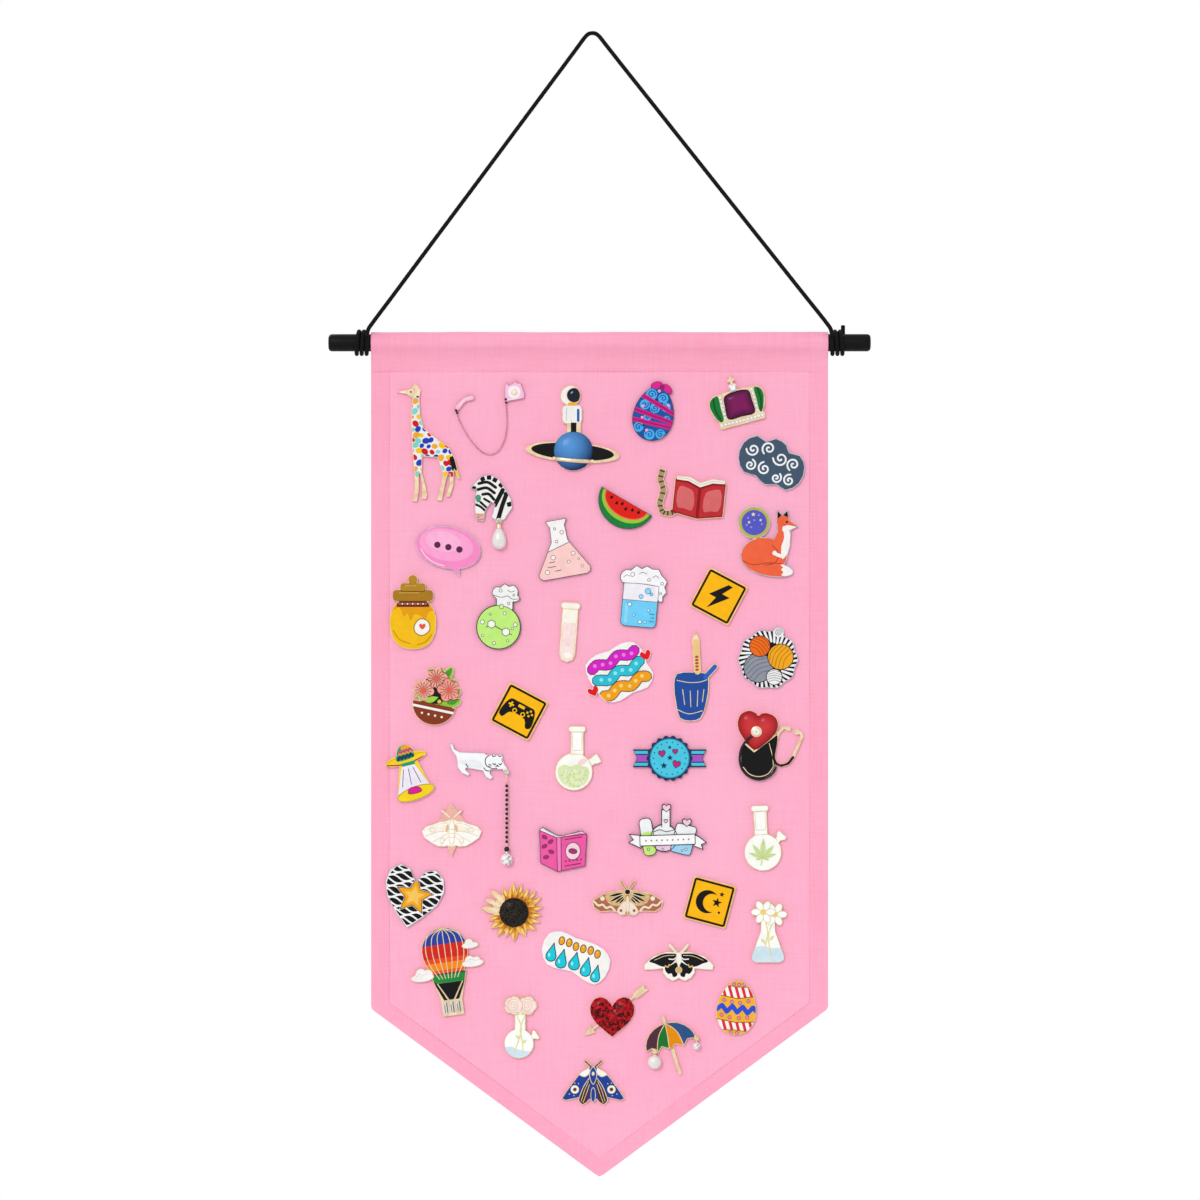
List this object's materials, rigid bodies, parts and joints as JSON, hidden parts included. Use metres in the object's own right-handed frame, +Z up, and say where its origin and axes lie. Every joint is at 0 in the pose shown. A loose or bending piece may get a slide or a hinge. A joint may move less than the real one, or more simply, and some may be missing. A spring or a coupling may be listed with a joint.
{
  "type": "pin badge banner",
  "caption": "Pink canvas pennant on a black dowel, hung by a black braided cord, that shows off a collection of enamel pins pushed through the cloth.",
  "frame": {"origin": "underside of the cord's bend, where it hangs on its hook", "axes": "+Z up, front towards -Y, +X to the right as seen from the front"},
  "size_m": [0.356, 0.0174, 0.7515],
  "materials": {
    "canvas": "woven cotton canvas",
    "black_wood": "black paint, satin",
    "cord": "braided",
    "gold": "polished, pale gold, with enamel",
    "silver": "polished, with enamel",
    "black_metal": "black nickel, with enamel",
    "white_enamel": "white enamel",
    "pearl": "pearl",
    "crystal": "cut crystal"
  },
  "bodies": {
    "hanger": {"dowel": "black_wood", "hanging_cord": "cord", "left_winding": "cord", "right_winding": "cord"},
    "banner": {"banner_panel": "canvas", "rod_pocket": "canvas"},
    "giraffe": {"giraffe_pin": "gold"},
    "astronaut": {"astronaut_pin": "gold"},
    "crown": {"crown_pin": "gold"},
    "red_book": {"red_book_pin": "gold"},
    "honey_pot": {"honey_pot_pin": "gold"},
    "test_tube": {"test_tube_pin": "gold"},
    "bolt_sign": {"bolt_sign_pin": "gold"},
    "flower_basket": {"flower_basket_pin": "gold"},
    "game_sign": {"game_sign_pin": "gold"},
    "pencil_pot": {"pencil_pot_pin": "gold"},
    "saucer": {"saucer_pin": "gold"},
    "round_flask": {"round_flask_pin": "gold"},
    "stethoscope": {"stethoscope_pin": "gold"},
    "white_moth": {"white_moth_pin": "gold"},
    "leaf_flask": {"leaf_flask_pin": "gold"},
    "sunflower": {"sunflower_pin": "gold"},
    "brown_moth": {"brown_moth_pin": "gold"},
    "moon_sign": {"moon_sign_pin": "gold"},
    "daisy_flask": {"daisy_flask_pin": "gold"},
    "balloon": {"balloon_pin": "gold"},
    "black_moth": {"black_moth_pin": "gold"},
    "rose_flask": {"rose_flask_pin": "gold"},
    "arrow_heart": {"arrow_heart_pin": "gold"},
    "umbrella": {"umbrella_pin": "gold"},
    "striped_egg": {"striped_egg_pin": "gold"},
    "blue_moth": {"blue_moth_pin": "gold"},
    "zebra": {"zebra_pin": "silver"},
    "cloud": {"cloud_pin": "silver"},
    "bubble": {"bubble_pin": "silver"},
    "fox": {"fox_pin": "silver"},
    "yarn": {"yarn_pin": "silver"},
    "cat": {"cat_pin": "silver"},
    "star_heart": {"star_heart_pin": "silver"},
    "blue_egg": {"blue_egg_pin": "black_metal"},
    "watermelon": {"watermelon_pin": "black_metal"},
    "pink_flask": {"pink_flask_pin": "black_metal"},
    "green_flask": {"green_flask_pin": "black_metal"},
    "beaker": {"beaker_pin": "black_metal"},
    "rosette": {"rosette_pin": "black_metal"},
    "pink_book": {"pink_book_pin": "black_metal"},
    "lab_ribbon": {"lab_ribbon_pin": "black_metal"},
    "wavy_bands": {"wavy_bands_pin": "white_enamel"},
    "bubbles": {"bubbles_pin": "white_enamel"},
    "telephone": {"handset_pin": "gold", "phone_pin": "gold", "phone_chain": "gold"},
    "zebra_pearl": {"zebra_pearl": "pearl"},
    "cat_chain": {"cat_chain": "black_metal"},
    "umbrella_pearl": {"umbrella_pearl": "pearl"},
    "umbrella_crystal": {"umbrella_crystal": "crystal"}
  },
  "joints": [
    {"name": "banner_swing", "type": "hinge", "parent": "hanger", "child": "banner", "pos_m": [0.0047, 0, -0.202], "axis": [-1, 0, 0], "range_deg": [0, 90]},
    {"name": "giraffe_pull", "type": "slide", "parent": "banner", "child": "giraffe", "axis": [0, -1, 0], "range_m": [0, 0.008]},
    {"name": "astronaut_pull", "type": "slide", "parent": "banner", "child": "astronaut", "axis": [0, -1, 0], "range_m": [0, 0.008]},
    {"name": "crown_pull", "type": "slide", "parent": "banner", "child": "crown", "axis": [0, -1, 0], "range_m": [0, 0.008]},
    {"name": "red_book_pull", "type": "slide", "parent": "banner", "child": "red_book", "axis": [0, -1, 0], "range_m": [0, 0.008]},
    {"name": "honey_pot_pull", "type": "slide", "parent": "banner", "child": "honey_pot", "axis": [0, -1, 0], "range_m": [0, 0.008]},
    {"name": "test_tube_pull", "type": "slide", "parent": "banner", "child": "test_tube", "axis": [0, -1, 0], "range_m": [0, 0.008]},
    {"name": "bolt_sign_pull", "type": "slide", "parent": "banner", "child": "bolt_sign", "axis": [0, -1, 0], "range_m": [0, 0.008]},
    {"name": "flower_basket_pull", "type": "slide", "parent": "banner", "child": "flower_basket", "axis": [0, -1, 0], "range_m": [0, 0.008]},
    {"name": "game_sign_pull", "type": "slide", "parent": "banner", "child": "game_sign", "axis": [0, -1, 0], "range_m": [0, 0.008]},
    {"name": "pencil_pot_pull", "type": "slide", "parent": "banner", "child": "pencil_pot", "axis": [0, -1, 0], "range_m": [0, 0.008]},
    {"name": "saucer_pull", "type": "slide", "parent": "banner", "child": "saucer", "axis": [0, -1, 0], "range_m": [0, 0.008]},
    {"name": "round_flask_pull", "type": "slide", "parent": "banner", "child": "round_flask", "axis": [0, -1, 0], "range_m": [0, 0.008]},
    {"name": "stethoscope_pull", "type": "slide", "parent": "banner", "child": "stethoscope", "axis": [0, -1, 0], "range_m": [0, 0.008]},
    {"name": "white_moth_pull", "type": "slide", "parent": "banner", "child": "white_moth", "axis": [0, -1, 0], "range_m": [0, 0.008]},
    {"name": "leaf_flask_pull", "type": "slide", "parent": "banner", "child": "leaf_flask", "axis": [0, -1, 0], "range_m": [0, 0.008]},
    {"name": "sunflower_pull", "type": "slide", "parent": "banner", "child": "sunflower", "axis": [0, -1, 0], "range_m": [0, 0.008]},
    {"name": "brown_moth_pull", "type": "slide", "parent": "banner", "child": "brown_moth", "axis": [0, -1, 0], "range_m": [0, 0.008]},
    {"name": "moon_sign_pull", "type": "slide", "parent": "banner", "child": "moon_sign", "axis": [0, -1, 0], "range_m": [0, 0.008]},
    {"name": "daisy_flask_pull", "type": "slide", "parent": "banner", "child": "daisy_flask", "axis": [0, -1, 0], "range_m": [0, 0.008]},
    {"name": "balloon_pull", "type": "slide", "parent": "banner", "child": "balloon", "axis": [0, -1, 0], "range_m": [0, 0.008]},
    {"name": "black_moth_pull", "type": "slide", "parent": "banner", "child": "black_moth", "axis": [0, -1, 0], "range_m": [0, 0.008]},
    {"name": "rose_flask_pull", "type": "slide", "parent": "banner", "child": "rose_flask", "axis": [0, -1, 0], "range_m": [0, 0.008]},
    {"name": "arrow_heart_pull", "type": "slide", "parent": "banner", "child": "arrow_heart", "axis": [0, -1, 0], "range_m": [0, 0.008]},
    {"name": "umbrella_pull", "type": "slide", "parent": "banner", "child": "umbrella", "axis": [0, -1, 0], "range_m": [0, 0.008]},
    {"name": "striped_egg_pull", "type": "slide", "parent": "banner", "child": "striped_egg", "axis": [0, -1, 0], "range_m": [0, 0.008]},
    {"name": "blue_moth_pull", "type": "slide", "parent": "banner", "child": "blue_moth", "axis": [0, -1, 0], "range_m": [0, 0.008]},
    {"name": "zebra_pull", "type": "slide", "parent": "banner", "child": "zebra", "axis": [0, -1, 0], "range_m": [0, 0.008]},
    {"name": "cloud_pull", "type": "slide", "parent": "banner", "child": "cloud", "axis": [0, -1, 0], "range_m": [0, 0.008]},
    {"name": "bubble_pull", "type": "slide", "parent": "banner", "child": "bubble", "axis": [0, -1, 0], "range_m": [0, 0.008]},
    {"name": "fox_pull", "type": "slide", "parent": "banner", "child": "fox", "axis": [0, -1, 0], "range_m": [0, 0.008]},
    {"name": "yarn_pull", "type": "slide", "parent": "banner", "child": "yarn", "axis": [0, -1, 0], "range_m": [0, 0.008]},
    {"name": "cat_pull", "type": "slide", "parent": "banner", "child": "cat", "axis": [0, -1, 0], "range_m": [0, 0.008]},
    {"name": "star_heart_pull", "type": "slide", "parent": "banner", "child": "star_heart", "axis": [0, -1, 0], "range_m": [0, 0.008]},
    {"name": "blue_egg_pull", "type": "slide", "parent": "banner", "child": "blue_egg", "axis": [0, -1, 0], "range_m": [0, 0.008]},
    {"name": "watermelon_pull", "type": "slide", "parent": "banner", "child": "watermelon", "axis": [0, -1, 0], "range_m": [0, 0.008]},
    {"name": "pink_flask_pull", "type": "slide", "parent": "banner", "child": "pink_flask", "axis": [0, -1, 0], "range_m": [0, 0.008]},
    {"name": "green_flask_pull", "type": "slide", "parent": "banner", "child": "green_flask", "axis": [0, -1, 0], "range_m": [0, 0.008]},
    {"name": "beaker_pull", "type": "slide", "parent": "banner", "child": "beaker", "axis": [0, -1, 0], "range_m": [0, 0.008]},
    {"name": "rosette_pull", "type": "slide", "parent": "banner", "child": "rosette", "axis": [0, -1, 0], "range_m": [0, 0.008]},
    {"name": "pink_book_pull", "type": "slide", "parent": "banner", "child": "pink_book", "axis": [0, -1, 0], "range_m": [0, 0.008]},
    {"name": "lab_ribbon_pull", "type": "slide", "parent": "banner", "child": "lab_ribbon", "axis": [0, -1, 0], "range_m": [0, 0.008]},
    {"name": "wavy_bands_pull", "type": "slide", "parent": "banner", "child": "wavy_bands", "axis": [0, -1, 0], "range_m": [0, 0.008]},
    {"name": "bubbles_pull", "type": "slide", "parent": "banner", "child": "bubbles", "axis": [0, -1, 0], "range_m": [0, 0.008]},
    {"name": "telephone_pull", "type": "slide", "parent": "banner", "child": "telephone", "axis": [0, -1, 0], "range_m": [0, 0.008]},
    {"name": "zebra_pearl_swing", "type": "hinge", "parent": "zebra", "child": "zebra_pearl", "pos_m": [-0.0613, -0.0037, -0.319], "axis": [0, -1, 0], "range_deg": [-30, 30]},
    {"name": "cat_chain_swing", "type": "hinge", "parent": "cat", "child": "cat_chain", "pos_m": [-0.0562, -0.0037, -0.4837], "axis": [0, -1, 0], "range_deg": [-10, 10]},
    {"name": "umbrella_pearl_swing", "type": "hinge", "parent": "umbrella", "child": "umbrella_pearl", "pos_m": [0.04076, -0.0037, -0.66718], "axis": [0, -1, 0], "range_deg": [-30, 30]},
    {"name": "umbrella_crystal_swing", "type": "hinge", "parent": "umbrella", "child": "umbrella_crystal", "pos_m": [0.06834, -0.0037, -0.65854], "axis": [0, -1, 0], "range_deg": [-30, 30]}
  ]
}
